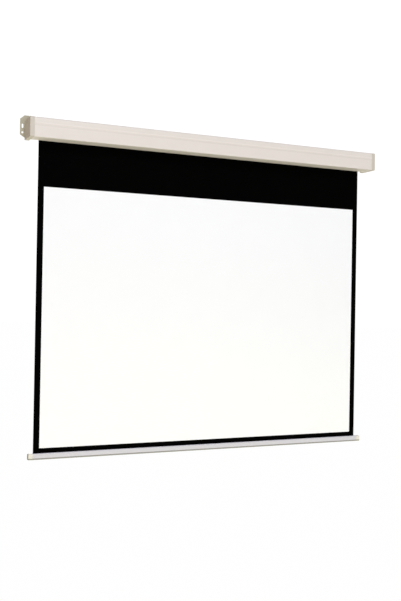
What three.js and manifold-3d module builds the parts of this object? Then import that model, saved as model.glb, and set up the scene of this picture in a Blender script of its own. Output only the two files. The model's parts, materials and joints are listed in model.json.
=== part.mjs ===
// Motorised projector screen in a wall case, shown with its fabric drawn right down.
// Millimetres. +Z is up, +X is to the right seen from the front, and +Y goes into the wall.
// The origin is the middle of the case's back face, which lies on the wall.
import * as THREE from 'three';
import { mergeVertices } from 'three/addons/utils/BufferGeometryUtils.js';
import Module from 'manifold-3d';

const wasm = await Module();
wasm.setup();

// Fits
const seatGap = 0.3;
const runGap = 0.05;
const crownGap = 0.1;
const snapGap = 0.1;
const threadGap = 0.2;
const overrun = 5;
const weldDistance = 0.0001;

// Fabric
const fabricWidth = 1600;
const fabricThickness = 0.5;
const imageHeight = 1094.5;
const bottomBorder = 21;
const dropShown = 191.75;
const wholeTurnsLeft = 1;
const lastTurnShare = 0.75;
const turnGap = 0.45;
const turnSteps = 24;

// Case profile: its length is the fabric's width and a margin at each end
const marginLeft = 53;
const marginRight = 50;
const caseHeight = 83.5;
const caseDepth = 100;
const caseWall = 1.6;
const frontTopRadius = 8;
const frontBottomRadius = 3;
const backRadius = 1.5;
const slotWidth = 17;
const rearLipRise = 8;
const lipClearance = 2;
const lipNoseFlat = 0.06;
const beadWidth = 3;
const beadHeight = 1;
const beadDrop = 27;
const portRadius = 3.6;
const portInset = 5.6;
const portFromBack = 8.6;
const portMouth = 1.6;

// End caps
const capDepth = 18;
const capEndWall = 3;
const capSkirt = 2.2;
const capBackPad = 5;
const capBossRadius = 4.8;
const capEdgeRadius = 1.2;
const spigotDepth = 10;
const spigotWall = 1.6;

// Wall brackets
const wallPlate = 3;
const earWidth = 20;
const earRise = 20;
const earFoot = 10.35;
const earTopChamfer = [18, 15];
const earBottomChamfer = [19.5, 12.3];
const earSlotWidth = 8;
const earSlotLength = 18;
const earSlotRise = 17.4;
const earHoleRadius = 4.5;
const earHoleDrop = 9.7;
const wallScrewFromTop = 14.5;
const wallScrewFromBottom = 20.5;
const wallBossRadius = 4.2;
const wallBossLength = 6;

// Screws
const panHeadRadius = 3.4;
const panHeadHeight = 2.2;
const sunkHeadRadius = 3.6;
const sunkHeadHeight = 2;
const sunkHeadRim = 0.25;
const shankRadius = 1.5;
const shankClearance = 0.3;
const recessWidth = 1;
const recessLength = 3.8;
const recessDepth = 1.2;
const capScrewLength = 28;
const wallScrewLength = 12;
const barScrewLength = 7;

// Roller
const rollerForward = 3.4;
const tubeRadius = 25;
const tubeWall = 1.5;
const kederRadius = 1.75;
const kederClearance = 0.25;
const kederSink = 2.8;
const grooveWall = 1.2;
const grooveMouth = 1.6;

// Idler end
const innerPlate = 3;
const innerPlateSize = 60;
const innerPlateRadius = 6;
const plateScrewInset = 6;
const pinRadius = 6;
const pinBare = 14.9;
const pinSunk = 34;
const pinChamfer = 1;
const bushRadius = 10;
const bushFlangeRadius = 13;
const bushFlange = 2.2;
const plugFlange = 3;
const plugDepth = 38;
const plugWall = 2.4;
const plugHubRadius = 10.5;
const ribThickness = 2;
const ribCount = 6;

// Motor end
const headInset = 1.5;
const headLength = 12;
const headChamfer = 1;
const neckStep = 2.5;
const neckSpare = 0.6;
const studSize = 10;
const leadNotchWidth = 9;
const leadNotchDepth = 5;
const motorClearance = 1.5;
const motorLength = 450;
const motorChamfer = 1.5;
const crimpWidth = 3;
const crimpDepth = 0.8;
const crimpSetIn = 14;
const shaftRadius = 5;
const shaftSunk = 8;
const shaftTip = 3.2;
const shaftFlat = 1.2;
const driveWidth = 16;
const driveHubRadius = 9.5;
const driveSetOff = 3;
const clipThickness = 1.2;
const clipGroove = 1;
const clipRadius = 8.5;
const clipOpening = 6;
const crownDepth = 13;
const crownFlange = 1.8;
const limitScrewRadius = 3;
const limitScrewSunk = 7;
const limitScrewProud = 1.2;
const limitScrewInset = 4.3;
const limitScrewAngle = THREE.MathUtils.degToRad(38.66);
const limitKeyFlats = 3;
const limitKeyDepth = 3;
const windowRadius = 4;
const glandBore = 3.6;
const glandNeckRadius = 5.2;
const glandFlangeRadius = 7.2;
const glandFlange = 2.4;
const glandBarb = 0.6;
const glandBarbLength = 4;
const glandClearance = 0.7;
const glandRise = 3;

// Bottom bar: its height is that of the hem chamber, the weight's bay and the walls round them
const barDepth = 18;
const barWall = 1.6;
const barWeb = 2.8;
const barRadius = 3.5;
const barShift = 4;
const barProfilePast = 6;
const barCapLength = 20;
const barCapRadius = 4;
const barCapDome = 2.5;
const barSpigotDepth = 16;
const weightRadius = 5.6;
const weightPlay = 0.8;
const hemRodRadius = 3;
const hemClearance = 0.7;
const barMouth = 2.4;
const barScrewSetIn = 8;

// Facet counts
const roundSides = 32;
const holeSides = 16;
const screwSides = 10;
const socketSides = 6;
const filletSteps = 5;

// Materials
const coatedWhite = new THREE.MeshStandardMaterial({ color: 0xe9e2da, roughness: 0.45, metalness: 0.1 });
const capPlastic = new THREE.MeshStandardMaterial({ color: 0xcfc9c0, roughness: 0.5, metalness: 0 });
const bracketSteel = new THREE.MeshStandardMaterial({ color: 0xcfc6a8, roughness: 0.4, metalness: 0.2 });
const screwSteel = new THREE.MeshStandardMaterial({ color: 0xb8b4a8, roughness: 0.35, metalness: 0.9 });
const plainSteel = new THREE.MeshStandardMaterial({ color: 0x9a9a98, roughness: 0.4, metalness: 0.9 });
const rollerAluminium = new THREE.MeshStandardMaterial({ color: 0xb9bcc0, roughness: 0.35, metalness: 0.9 });
const mouldedBlack = new THREE.MeshStandardMaterial({ color: 0x222222, roughness: 0.6, metalness: 0 });
const mouldedGrey = new THREE.MeshStandardMaterial({ color: 0x8a8c90, roughness: 0.6, metalness: 0 });
const limitColour = new THREE.MeshStandardMaterial({ color: 0xe0c020, roughness: 0.5, metalness: 0 });
const screenCloth = new THREE.MeshStandardMaterial({ color: 0xf4f4f4, roughness: 0.9, metalness: 0 });
const blackCloth = new THREE.MeshStandardMaterial({ color: 0x101010, roughness: 0.9, metalness: 0 });
const barCoat = new THREE.MeshStandardMaterial({ color: 0xdcdae4, roughness: 0.35, metalness: 0.3 });

// Case and fabric, worked out from the sizes above
const caseLength = marginLeft + fabricWidth + marginRight;
const caseBottom = -caseHeight / 2;
const caseTop = caseHeight / 2;
const caseEnd = caseLength / 2;
const capInner = caseEnd - capDepth;
const profileEnd = capInner - seatGap;
const fabricLeft = marginLeft - caseEnd;
const fabricRight = caseEnd - marginRight;
const fabricOffset = (fabricLeft + fabricRight) / 2;
const rollerY = -caseDepth / 2 - rollerForward;
const turnsLeft = wholeTurnsLeft + lastTurnShare;
const turnPitch = fabricThickness + turnGap;
const rollInnerRadius = tubeRadius + seatGap + fabricThickness / 2;
const rollOuterRadius = rollInnerRadius + turnsLeft * turnPitch;
const fabricY = rollerY + rollOuterRadius;
const lipEnd = fabricY - fabricThickness / 2 - lipClearance;
const rearLipEnd = lipEnd + slotWidth;
const rearFoot = caseBottom + rearLipRise;
const barTop = caseBottom - dropShown - imageHeight - bottomBorder;
const shankHole = shankRadius + shankClearance;
const portBore = shankRadius + threadGap;

// Each end of the roller in turn, from the end cap's wall inwards
const plateOuterX = caseEnd - capEndWall - seatGap;
const plateInnerX = plateOuterX - innerPlate;
const plateFace = plateInnerX - seatGap;
const bushInnerX = -plateFace + bushFlange;
const tubeLeft = bushInnerX + pinBare + plugFlange + seatGap;
const headInner = plateFace - headLength;
const crownOuter = headInner - seatGap;
const tubeRight = crownOuter - crownFlange - seatGap;
const neckEnd = tubeRight - crownDepth - neckSpare;
const motorEnd = neckEnd - seatGap;
const motorStart = motorEnd - motorLength;
const driveRight = motorStart - driveSetOff;
const driveLeft = driveRight - driveWidth;
const clipRight = driveLeft - seatGap;
const clipLeft = clipRight - clipThickness;
const shaftEnd = clipLeft - seatGap - shaftTip;

// Radii inside the roller
const tubeInnerRadius = tubeRadius - tubeWall;
const kederBore = kederRadius + kederClearance;
const kederCentre = tubeRadius - kederSink;
const motorRadius = kederCentre - kederBore - grooveWall - motorClearance;
const neckRadius = motorRadius - neckStep;
const headRadius = tubeRadius - headInset;

// A drawing's x, y and its run become world Y, Z and X
const sectionToWorld = new THREE.Matrix4().makeBasis(
  new THREE.Vector3(0, 1, 0),
  new THREE.Vector3(0, 0, 1),
  new THREE.Vector3(1, 0, 0),
);
// A front view's x, y and its run become world X, Z and -Y
const frontToWorld = new THREE.Matrix4().makeBasis(
  new THREE.Vector3(1, 0, 0),
  new THREE.Vector3(0, 0, 1),
  new THREE.Vector3(0, -1, 0),
);
// A cylinder or revolved piece stands along +Y as made, and this lays it along +X
const turnToX = new THREE.Matrix4().makeBasis(
  new THREE.Vector3(0, 1, 0),
  new THREE.Vector3(1, 0, 0),
  new THREE.Vector3(0, 0, -1),
);

// Closed solid from a three.js geometry, without the flat triangles that a revolve leaves on its axis
function solidOf(geometry) {
  geometry.deleteAttribute('normal');
  geometry.deleteAttribute('uv');
  const welded = mergeVertices(geometry, weldDistance);
  const corners = welded.index.array;
  const kept = [];
  for (let i = 0; i < corners.length; i += 3) {
    const [a, b, c] = corners.slice(i, i + 3);
    if (a !== b && b !== c && c !== a) {
      kept.push(a, b, c);
    }
  }
  return new wasm.Manifold(new wasm.Mesh({
    numProp: 3,
    vertProperties: welded.attributes.position.array,
    triVerts: new Uint32Array(kept),
  }));
}

function joined(...solids) {
  return solids.reduce((whole, next) => whole.add(next));
}

function cut(solid, ...tools) {
  return tools.reduce((left, tool) => left.subtract(tool), solid);
}

// The same solid for the other end of the screen
function mirroredInX(solid) {
  const mesh = solid.getMesh();
  const places = mesh.vertProperties.slice();
  for (let i = 0; i < places.length; i += 3) {
    places[i] = -places[i];
  }
  const corners = mesh.triVerts.slice();
  for (let i = 0; i < corners.length; i += 3) {
    [corners[i + 1], corners[i + 2]] = [corners[i + 2], corners[i + 1]];
  }
  return new wasm.Manifold(new wasm.Mesh({ numProp: 3, vertProperties: places, triVerts: corners }));
}

function partMesh(name, solid, material) {
  const mesh = solid.getMesh();
  const geometry = new THREE.BufferGeometry();
  geometry.setAttribute('position', new THREE.BufferAttribute(mesh.vertProperties, 3));
  geometry.setIndex(new THREE.BufferAttribute(mesh.triVerts, 1));
  geometry.computeVertexNormals();
  const part = new THREE.Mesh(geometry, material);
  part.name = name;
  return part;
}

// Outline through corners [u, v, fillet radius], given anticlockwise round the material
function filleted(corners) {
  const points = [];
  corners.forEach(([u, v, radius], i) => {
    const corner = new THREE.Vector2(u, v);
    if (!(radius > 0)) {
      points.push(corner);
      return;
    }
    const before = corners[(i + corners.length - 1) % corners.length];
    const after = corners[(i + 1) % corners.length];
    const back = new THREE.Vector2(before[0], before[1]).sub(corner).normalize();
    const ahead = new THREE.Vector2(after[0], after[1]).sub(corner).normalize();
    const halfAngle = Math.acos(back.dot(ahead)) / 2;
    const toCentre = back.clone().add(ahead).setLength(radius / Math.sin(halfAngle));
    const centre = corner.clone().add(toCentre);
    const start = corner.clone().addScaledVector(back, radius / Math.tan(halfAngle)).sub(centre);
    const end = corner.clone().addScaledVector(ahead, radius / Math.tan(halfAngle)).sub(centre);
    const startAngle = start.angle();
    let sweep = end.angle() - startAngle;
    sweep -= 2 * Math.PI * Math.round(sweep / (2 * Math.PI));
    for (let step = 0; step <= filletSteps; step += 1) {
      const angle = startAngle + (sweep * step) / filletSteps;
      points.push(new THREE.Vector2(Math.cos(angle), Math.sin(angle)).multiplyScalar(radius).add(centre));
    }
  });
  return new THREE.Shape(points);
}

function rectangle(u0, v0, u1, v1, radii = [0, 0, 0, 0]) {
  return filleted([[u0, v0, radii[0]], [u1, v0, radii[1]], [u1, v1, radii[2]], [u0, v1, radii[3]]]);
}

// A section drawn in the Y-Z plane, run along X
function runAlongX(shape, from, to) {
  const geometry = new THREE.ExtrudeGeometry(shape, { depth: to - from, bevelEnabled: false });
  geometry.applyMatrix4(sectionToWorld);
  geometry.translate(from, 0, 0);
  return solidOf(geometry);
}

// A front view drawn in the X-Z plane, run along Y
function runAlongY(shape, from, to) {
  const geometry = new THREE.ExtrudeGeometry(shape, { depth: to - from, bevelEnabled: false });
  geometry.applyMatrix4(frontToWorld);
  geometry.translate(0, to, 0);
  return solidOf(geometry);
}

function rodAlongX(radius, from, to, y = 0, z = 0, sides = roundSides) {
  const geometry = new THREE.CylinderGeometry(radius, radius, to - from, sides);
  geometry.applyMatrix4(turnToX);
  geometry.translate((from + to) / 2, y, z);
  return solidOf(geometry);
}

function rodAlongY(radius, from, to, x = 0, z = 0, sides = roundSides) {
  const geometry = new THREE.CylinderGeometry(radius, radius, to - from, sides);
  geometry.translate(x, (from + to) / 2, z);
  return solidOf(geometry);
}

function block(x0, x1, y0, y1, z0, z1) {
  const geometry = new THREE.BoxGeometry(x1 - x0, y1 - y0, z1 - z0);
  geometry.translate((x0 + x1) / 2, (y0 + y1) / 2, (z0 + z1) / 2);
  return solidOf(geometry);
}

// A piece turned about the X axis, from a profile of [x, radius] points that starts and ends on the axis
function turnedAboutX(profile, sides = roundSides) {
  const points = profile.map(([x, radius]) => new THREE.Vector2(radius, x));
  const geometry = new THREE.LatheGeometry(points, sides);
  geometry.applyMatrix4(turnToX);
  return solidOf(geometry);
}

// Places of the four screw ports, as [y, z]
const portPlaces = [
  [portInset - caseDepth, caseTop - portInset],
  [portInset - caseDepth, caseBottom + portInset],
  [-portFromBack, caseTop - portInset],
  [-portFromBack, rearFoot + portInset],
];

// The case's section as a full rounded rectangle, drawn in by an inset
function caseOutline(inset) {
  return rectangle(
    inset - caseDepth,
    caseBottom + inset,
    -inset,
    caseTop - inset,
    [frontBottomRadius - inset, backRadius - inset, backRadius - inset, frontTopRadius - inset],
  );
}

// A round port or boss in a corner of the case, with the corner behind it filled, all grown by a margin
function filledCorner([y, z], radius, margin, from, to) {
  const outwardY = y < -caseDepth / 2 ? -caseDepth : 0;
  const outwardZ = z > 0 ? caseTop : caseBottom;
  const web = rectangle(
    Math.min(y, outwardY) - margin,
    Math.min(z, outwardZ) - margin,
    Math.max(y, outwardY) + margin,
    Math.max(z, outwardZ) + margin,
  );
  return joined(rodAlongX(radius + margin, from, to, y, z, holeSides), runAlongX(web, from, to));
}

// Case profile: a C section, open below at the fabric slot, with a screw port in each corner.
// Behind the slot its lip stands higher than in front, so the fabric is easy to reach from below.
function caseProfile() {
  const front = -caseDepth;
  const noseRadius = (caseWall - lipNoseFlat) / 2;
  const outside = [
    [0, rearFoot, backRadius],
    [0, caseTop, backRadius],
    [front, caseTop, frontTopRadius],
    [front, caseBottom, frontBottomRadius],
  ];
  const section = filleted([
    [lipEnd, caseBottom + caseWall, noseRadius],
    [front + caseWall, caseBottom + caseWall, frontBottomRadius - caseWall],
    [front + caseWall, caseTop - caseWall, frontTopRadius - caseWall],
    [-caseWall, caseTop - caseWall, 0],
    [-caseWall, rearFoot + caseWall, 0],
    [rearLipEnd, rearFoot + caseWall, noseRadius],
    [rearLipEnd, rearFoot, noseRadius],
    ...outside,
    [lipEnd, caseBottom, noseRadius],
  ]);
  const shell = runAlongX(section, -profileEnd, profileEnd);
  const beadZ = caseTop - beadDrop;
  const bead = runAlongX(
    rectangle(
      front - beadHeight,
      beadZ - beadWidth / 2,
      front + caseWall / 2,
      beadZ + beadWidth / 2,
      [beadHeight, 0, 0, beadHeight],
    ),
    -profileEnd,
    profileEnd,
  );
  const full = runAlongX(
    filleted([...outside, [lipEnd, caseBottom, 0], [lipEnd, rearFoot, 0]]),
    -profileEnd,
    profileEnd,
  );
  let profile = joined(shell, bead);
  for (const place of portPlaces) {
    profile = profile.add(filledCorner(place, portRadius, 0, -profileEnd, profileEnd).intersect(full));
  }
  for (const [y, z] of portPlaces) {
    const inwardY = y < front / 2 ? y + portInset : y - portInset;
    const bore = rodAlongX(portBore, -caseEnd, caseEnd, y, z, screwSides);
    const mouth = block(
      -caseEnd,
      caseEnd,
      Math.min(y, inwardY),
      Math.max(y, inwardY),
      z - portMouth / 2,
      z + portMouth / 2,
    );
    profile = cut(profile, bore, mouth);
  }
  return profile;
}

// Screws, modelled with the head's top at x = 0 and the shank running to -X
function crossRecess() {
  const half = recessLength / 2;
  return joined(
    block(-recessDepth, overrun, -half, half, -recessWidth / 2, recessWidth / 2),
    block(-recessDepth, overrun, -recessWidth / 2, recessWidth / 2, -half, half),
  );
}

function panScrew(length) {
  const body = turnedAboutX([
    [-panHeadHeight - length, 0],
    [-panHeadHeight - length + shankRadius, shankRadius],
    [-panHeadHeight, shankRadius],
    [-panHeadHeight, panHeadRadius],
    [-panHeadHeight / 2, panHeadRadius],
    [0, panHeadRadius / 2],
    [0, 0],
  ], screwSides);
  return cut(body, crossRecess());
}

function sunkScrew(length) {
  const body = turnedAboutX([
    [-length, 0],
    [shankRadius - length, shankRadius],
    [-sunkHeadHeight, shankRadius],
    [-sunkHeadRim, sunkHeadRadius],
    [0, sunkHeadRadius],
    [0, 0],
  ], screwSides);
  return cut(body, crossRecess());
}

// The cone and hole that a countersunk screw seats in, a seat gap larger all round
function sunkSeat(length) {
  return turnedAboutX([
    [-length, 0],
    [-length, shankHole],
    [-sunkHeadHeight - seatGap, shankHole],
    [-sunkHeadRim - seatGap, sunkHeadRadius + seatGap],
    [overrun, sunkHeadRadius + seatGap],
    [overrun, 0],
  ], screwSides);
}

// A solid made along X turned to run along another axis and set in place
const turns = {
  toBack: new THREE.Matrix4().makeRotationZ(Math.PI / 2),
  toDown: new THREE.Matrix4().makeRotationY(Math.PI / 2),
};

function placed(solid, turn, x, y, z) {
  const mesh = solid.getMesh();
  const geometry = new THREE.BufferGeometry();
  geometry.setAttribute('position', new THREE.BufferAttribute(mesh.vertProperties, 3));
  geometry.setIndex(new THREE.BufferAttribute(mesh.triVerts, 1));
  geometry.applyMatrix4(turn);
  geometry.translate(x, y, z);
  return solidOf(geometry);
}

// Heights of the two screws that hold each wall bracket to its end cap, and of those in each inner plate
const wallScrewHeights = [caseTop - wallScrewFromTop, caseBottom + wallScrewFromBottom];
const wallScrewX = (capInner + caseEnd) / 2;
const plateScrewHeight = innerPlateSize / 2 - plateScrewInset;
const plateScrewHeights = [plateScrewHeight, -plateScrewHeight];
const plateScrewLength = caseEnd + snapGap - plateInnerX;

// The limit screws lie below the roller's axis, one to the front and one to the back, as [y, z]
const limitScrewCircle = headRadius - limitScrewInset;
const limitPlacesOnRoller = [-limitScrewAngle, limitScrewAngle].map((angle) => (
  [limitScrewCircle * Math.sin(angle), -limitScrewCircle * Math.cos(angle)]
));
const limitPlaces = limitPlacesOnRoller.map(([y, z]) => [rollerY + y, z]);

// The gland sits just behind the motor's head, where the motor's bracket has a notch in its back edge
const glandReach = glandNeckRadius + glandBarb;
const glandY = rollerY + headRadius + glandClearance + glandReach;

// Right-hand end cap: a moulded cup that closes the case, with a spigot inside the profile,
// a boss for each case screw and a thick pad at the back that carries the wall bracket
function endCapBlank() {
  const outside = runAlongX(caseOutline(0), capInner, caseEnd);
  const padFace = -wallPlate - seatGap - capBackPad;
  const hollow = runAlongX(
    rectangle(capSkirt - caseDepth, caseBottom + capSkirt, padFace, caseTop - capSkirt, [
      frontBottomRadius - capSkirt,
      capEdgeRadius,
      capEdgeRadius,
      frontTopRadius - capSkirt,
    ]),
    capInner - overrun,
    caseEnd - capEndWall,
  );
  const spigotOutside = caseWall + seatGap;
  const spigot = cut(
    runAlongX(caseOutline(spigotOutside), capInner - spigotDepth, capInner + capSkirt),
    runAlongX(caseOutline(spigotOutside + spigotWall), capInner - spigotDepth - overrun, caseEnd),
  );
  const bosses = portPlaces.map((place) => filledCorner(place, capBossRadius, 0, capInner, caseEnd));
  const wallBosses = wallScrewHeights.map((z) => (
    rodAlongY(wallBossRadius, padFace - wallBossLength, padFace + capBackPad / 2, wallScrewX, z, holeSides)
  ));
  const capBody = joined(cut(outside, hollow), ...bosses, ...wallBosses).intersect(outside);
  const slotLeftFree = block(
    capInner - spigotDepth - overrun,
    capInner,
    lipEnd,
    overrun,
    caseBottom,
    rearFoot + caseWall + seatGap,
  );
  const trimmedSpigot = cut(
    spigot,
    slotLeftFree,
    ...portPlaces.map((place) => (
      filledCorner(place, portRadius, seatGap, capInner - spigotDepth - overrun, capInner)
    )),
  );
  const plateRecess = block(
    capInner - overrun,
    caseEnd + overrun,
    -wallPlate - seatGap,
    overrun,
    caseBottom + earFoot - seatGap,
    caseTop + overrun,
  );
  const screwWays = portPlaces.map(([y, z]) => joined(
    rodAlongX(shankHole, capInner - overrun, caseEnd + overrun, y, z, screwSides),
    rodAlongX(panHeadRadius + seatGap, caseEnd - panHeadHeight - seatGap, caseEnd + overrun, y, z, screwSides),
  ));
  const wallScrewBores = wallScrewHeights.map((z) => (
    rodAlongY(shankHole, padFace - wallBossLength - overrun, 0, wallScrewX, z, screwSides)
  ));
  const plateScrewHoles = plateScrewHeights.map((z) => (
    rodAlongX(shankHole, plateInnerX, caseEnd + overrun, rollerY, z, screwSides)
  ));
  return cut(
    joined(capBody, trimmedSpigot),
    plateRecess,
    ...screwWays,
    ...wallScrewBores,
    ...plateScrewHoles,
  );
}

// One long window lets a key reach both limit screws
function limitWindow(from, to) {
  const ends = limitPlaces.map(([y, z]) => rodAlongX(windowRadius, from, to, y, z, holeSides));
  const [[frontY, z], [backY]] = limitPlaces;
  return joined(...ends, block(from, to, frontY, backY, z - windowRadius, z + windowRadius));
}

// The right cap also has the limit screws' window and carries the cable gland
function endCapRight() {
  const glandHole = rodAlongX(
    glandNeckRadius + seatGap,
    plateOuterX,
    caseEnd + overrun,
    glandY,
    glandRise,
    holeSides,
  );
  return cut(endCapBlank(), limitWindow(plateOuterX, caseEnd + overrun), glandHole);
}

// Right-hand wall bracket: a flat plate behind the end cap with a chamfered ear that stands out beside it
function wallBracket() {
  const foot = caseBottom + earFoot;
  const head = caseTop + earRise;
  const earEnd = caseEnd + earWidth;
  const outline = filleted([
    [capInner + seatGap, foot, 0],
    [earEnd - earBottomChamfer[0], foot, 0],
    [earEnd, foot + earBottomChamfer[1], 0],
    [earEnd, head - earTopChamfer[1], 0],
    [earEnd - earTopChamfer[0], head, 0],
    [capInner + seatGap, head, 0],
  ]);
  const earMiddle = caseEnd + earWidth / 2;
  const slotHalf = (earSlotLength - earSlotWidth) / 2;
  const slotEnds = [earSlotRise + slotHalf, earSlotRise - slotHalf];
  const wallSlot = joined(
    block(
      earMiddle - earSlotWidth / 2,
      earMiddle + earSlotWidth / 2,
      -wallPlate - overrun,
      overrun,
      slotEnds[1],
      slotEnds[0],
    ),
    ...slotEnds.map((z) => rodAlongY(earSlotWidth / 2, -wallPlate - overrun, overrun, earMiddle, z, holeSides)),
  );
  const wallHole = rodAlongY(earHoleRadius, -wallPlate - overrun, overrun, earMiddle, -earHoleDrop, holeSides);
  const seats = wallScrewHeights.map((z) => (
    placed(sunkSeat(wallScrewLength), turns.toBack, wallScrewX, 0, z)
  ));
  return cut(runAlongY(outline, -wallPlate, 0), wallSlot, wallHole, ...seats);
}

// Square steel plate inside an end cap that carries one end of the roller
function innerPlateBlank() {
  const half = innerPlateSize / 2;
  const radii = Array(4).fill(innerPlateRadius);
  const plate = runAlongX(rectangle(rollerY - half, -half, rollerY + half, half, radii), plateInnerX, plateOuterX);
  const holes = plateScrewHeights.map((z) => (
    rodAlongX(shankHole, plateInnerX - overrun, plateOuterX + overrun, rollerY, z, screwSides)
  ));
  return cut(plate, ...holes);
}

function motorBracket() {
  const half = studSize / 2 + seatGap;
  const from = plateInnerX - overrun;
  const to = plateOuterX + overrun;
  const squareHole = block(from, to, rollerY - half, rollerY + half, -half, half);
  const leadNotch = rodAlongX(glandReach + seatGap, from, to, glandY, glandRise, holeSides);
  return cut(innerPlateBlank(), squareHole, limitWindow(from, to), leadNotch);
}

function idlerBracket() {
  const bushHole = rodAlongX(bushRadius + runGap, plateInnerX - overrun, plateOuterX + overrun, rollerY, 0);
  return mirroredInX(cut(innerPlateBlank(), bushHole));
}

// Everything on the roller is drawn about the roller's own axis
function idlerBush() {
  const outerEnd = -plateOuterX;
  const body = turnedAboutX([
    [outerEnd, 0],
    [outerEnd, bushRadius],
    [-plateFace, bushRadius],
    [-plateFace, bushFlangeRadius],
    [bushInnerX, bushFlangeRadius],
    [bushInnerX, 0],
  ]);
  return cut(body, rodAlongX(pinRadius + runGap, outerEnd - overrun, bushInnerX + overrun));
}

// Roller tube with a keder groove: a round chamber just under the surface, open through a narrow mouth
function grooveRidge(radius, from, to) {
  return rodAlongX(radius, from, to, 0, -kederCentre, screwSides);
}

function rollerTube() {
  const outside = rodAlongX(tubeRadius, tubeLeft, tubeRight, 0, 0, roundSides * 2);
  const bore = rodAlongX(tubeInnerRadius, tubeLeft - overrun, tubeRight + overrun, 0, 0, roundSides * 2);
  const ridge = grooveRidge(kederBore + grooveWall, tubeLeft, tubeRight).intersect(outside);
  const mouth = block(
    tubeLeft - overrun,
    tubeRight + overrun,
    -grooveMouth / 2,
    grooveMouth / 2,
    -tubeRadius - overrun,
    -kederCentre,
  );
  const chamber = grooveRidge(kederBore, tubeLeft - overrun, tubeRight + overrun);
  return cut(joined(cut(outside, bore), ridge), chamber, mouth);
}

// A wheel or plug that fits the tube's bore: rim, hub and ribs, with a notch for the groove's ridge
function tubeInsert(from, to, wall, hubRadius, boreRadius) {
  const rimRadius = tubeInnerRadius - seatGap;
  const rim = cut(
    rodAlongX(rimRadius, from, to),
    rodAlongX(rimRadius - wall, from - overrun, to + overrun),
  );
  const hub = rodAlongX(hubRadius, from, to);
  const reach = rimRadius - wall / 2;
  const ribs = [];
  for (let i = 0; i < ribCount; i += 1) {
    const rib = block(from, to, 0, reach, -ribThickness / 2, ribThickness / 2);
    const turn = new THREE.Matrix4().makeRotationX(Math.PI / ribCount + (2 * Math.PI * i) / ribCount);
    ribs.push(placed(rib, turn, 0, 0, 0));
  }
  return cut(
    joined(rim, hub, ...ribs),
    grooveRidge(kederBore + grooveWall + seatGap, from - overrun, to + overrun),
    rodAlongX(boreRadius, from - overrun, to + overrun),
  );
}

function idlerPlug() {
  const flange = cut(
    rodAlongX(tubeRadius, tubeLeft - seatGap - plugFlange, tubeLeft - seatGap),
    rodAlongX(pinRadius + runGap, tubeLeft - overrun - plugFlange, tubeLeft),
  );
  const insert = tubeInsert(tubeLeft - seatGap, tubeLeft + plugDepth, plugWall, plugHubRadius, pinRadius + runGap);
  return joined(flange, insert);
}

function idlerPin() {
  const from = -plateOuterX;
  const to = tubeLeft + pinSunk;
  return turnedAboutX([
    [from, 0],
    [from, pinRadius - pinChamfer],
    [from + pinChamfer, pinRadius],
    [to - pinChamfer, pinRadius],
    [to, pinRadius - pinChamfer],
    [to, 0],
  ]);
}

// The keder rod lies in the groove and holds the fabric's top edge
function topKeder() {
  return rodAlongX(kederRadius, fabricLeft, fabricRight, 0, -kederCentre, screwSides);
}

// The turns that stay on the roller, as one wound strip: from the keder's mouth at the bottom, round
// and out to the back of the roller, where the hanging fabric leaves it
function spiralRadius(angle) {
  return rollOuterRadius - (turnPitch * angle) / (2 * Math.PI);
}

function fabricRoll() {
  const steps = Math.round(turnSteps * turnsLeft);
  const whole = 2 * Math.PI * turnsLeft;
  const outerEdge = [];
  const innerEdge = [];
  for (let i = 0; i <= steps; i += 1) {
    const angle = (whole * i) / steps;
    const direction = new THREE.Vector2(Math.cos(angle), Math.sin(angle));
    outerEdge.push(direction.clone().multiplyScalar(spiralRadius(angle) + fabricThickness / 2));
    innerEdge.push(direction.clone().multiplyScalar(spiralRadius(angle) - fabricThickness / 2));
  }
  const strip = runAlongX(new THREE.Shape([...outerEdge, ...innerEdge.reverse()]), fabricLeft, fabricRight);
  const tail = block(
    fabricLeft,
    fabricRight,
    -fabricThickness / 2,
    fabricThickness / 2,
    -rollInnerRadius - fabricThickness / 2,
    -kederCentre - kederRadius - kederClearance,
  );
  return joined(strip, tail);
}

// Least gap between one turn and the next, measured on the strip's own points
function leastTurnGap() {
  const steps = Math.round(turnSteps * turnsLeft);
  let least = Infinity;
  for (let i = 0; i + turnSteps <= steps; i += 1) {
    const angle = (2 * Math.PI * turnsLeft * i) / steps;
    const next = angle + 2 * Math.PI;
    least = Math.min(least, spiralRadius(angle) - spiralRadius(next) - fabricThickness);
  }
  return least;
}

// Motor end: the head on its bracket, with a neck that the crown ring runs on
function motorHead() {
  const body = turnedAboutX([
    [neckEnd, 0],
    [neckEnd, neckRadius],
    [headInner, neckRadius],
    [headInner, headRadius - headChamfer],
    [headInner + headChamfer, headRadius],
    [plateFace - headChamfer, headRadius],
    [plateFace, headRadius - headChamfer],
    [plateFace, 0],
  ]);
  const half = studSize / 2;
  const stud = block(headInner + headChamfer, plateOuterX, -half, half, -half, half);
  const screwWells = limitPlacesOnRoller.map(([y, z]) => (
    rodAlongX(limitScrewRadius + runGap, plateFace - limitScrewSunk - seatGap, plateFace + overrun, y, z)
  ));
  const leadNotch = block(
    headInner - overrun,
    plateFace + overrun,
    headRadius - leadNotchDepth,
    headRadius + overrun,
    -leadNotchWidth / 2,
    leadNotchWidth / 2,
  );
  return cut(joined(body, stud), ...screwWells, leadNotch);
}

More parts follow.
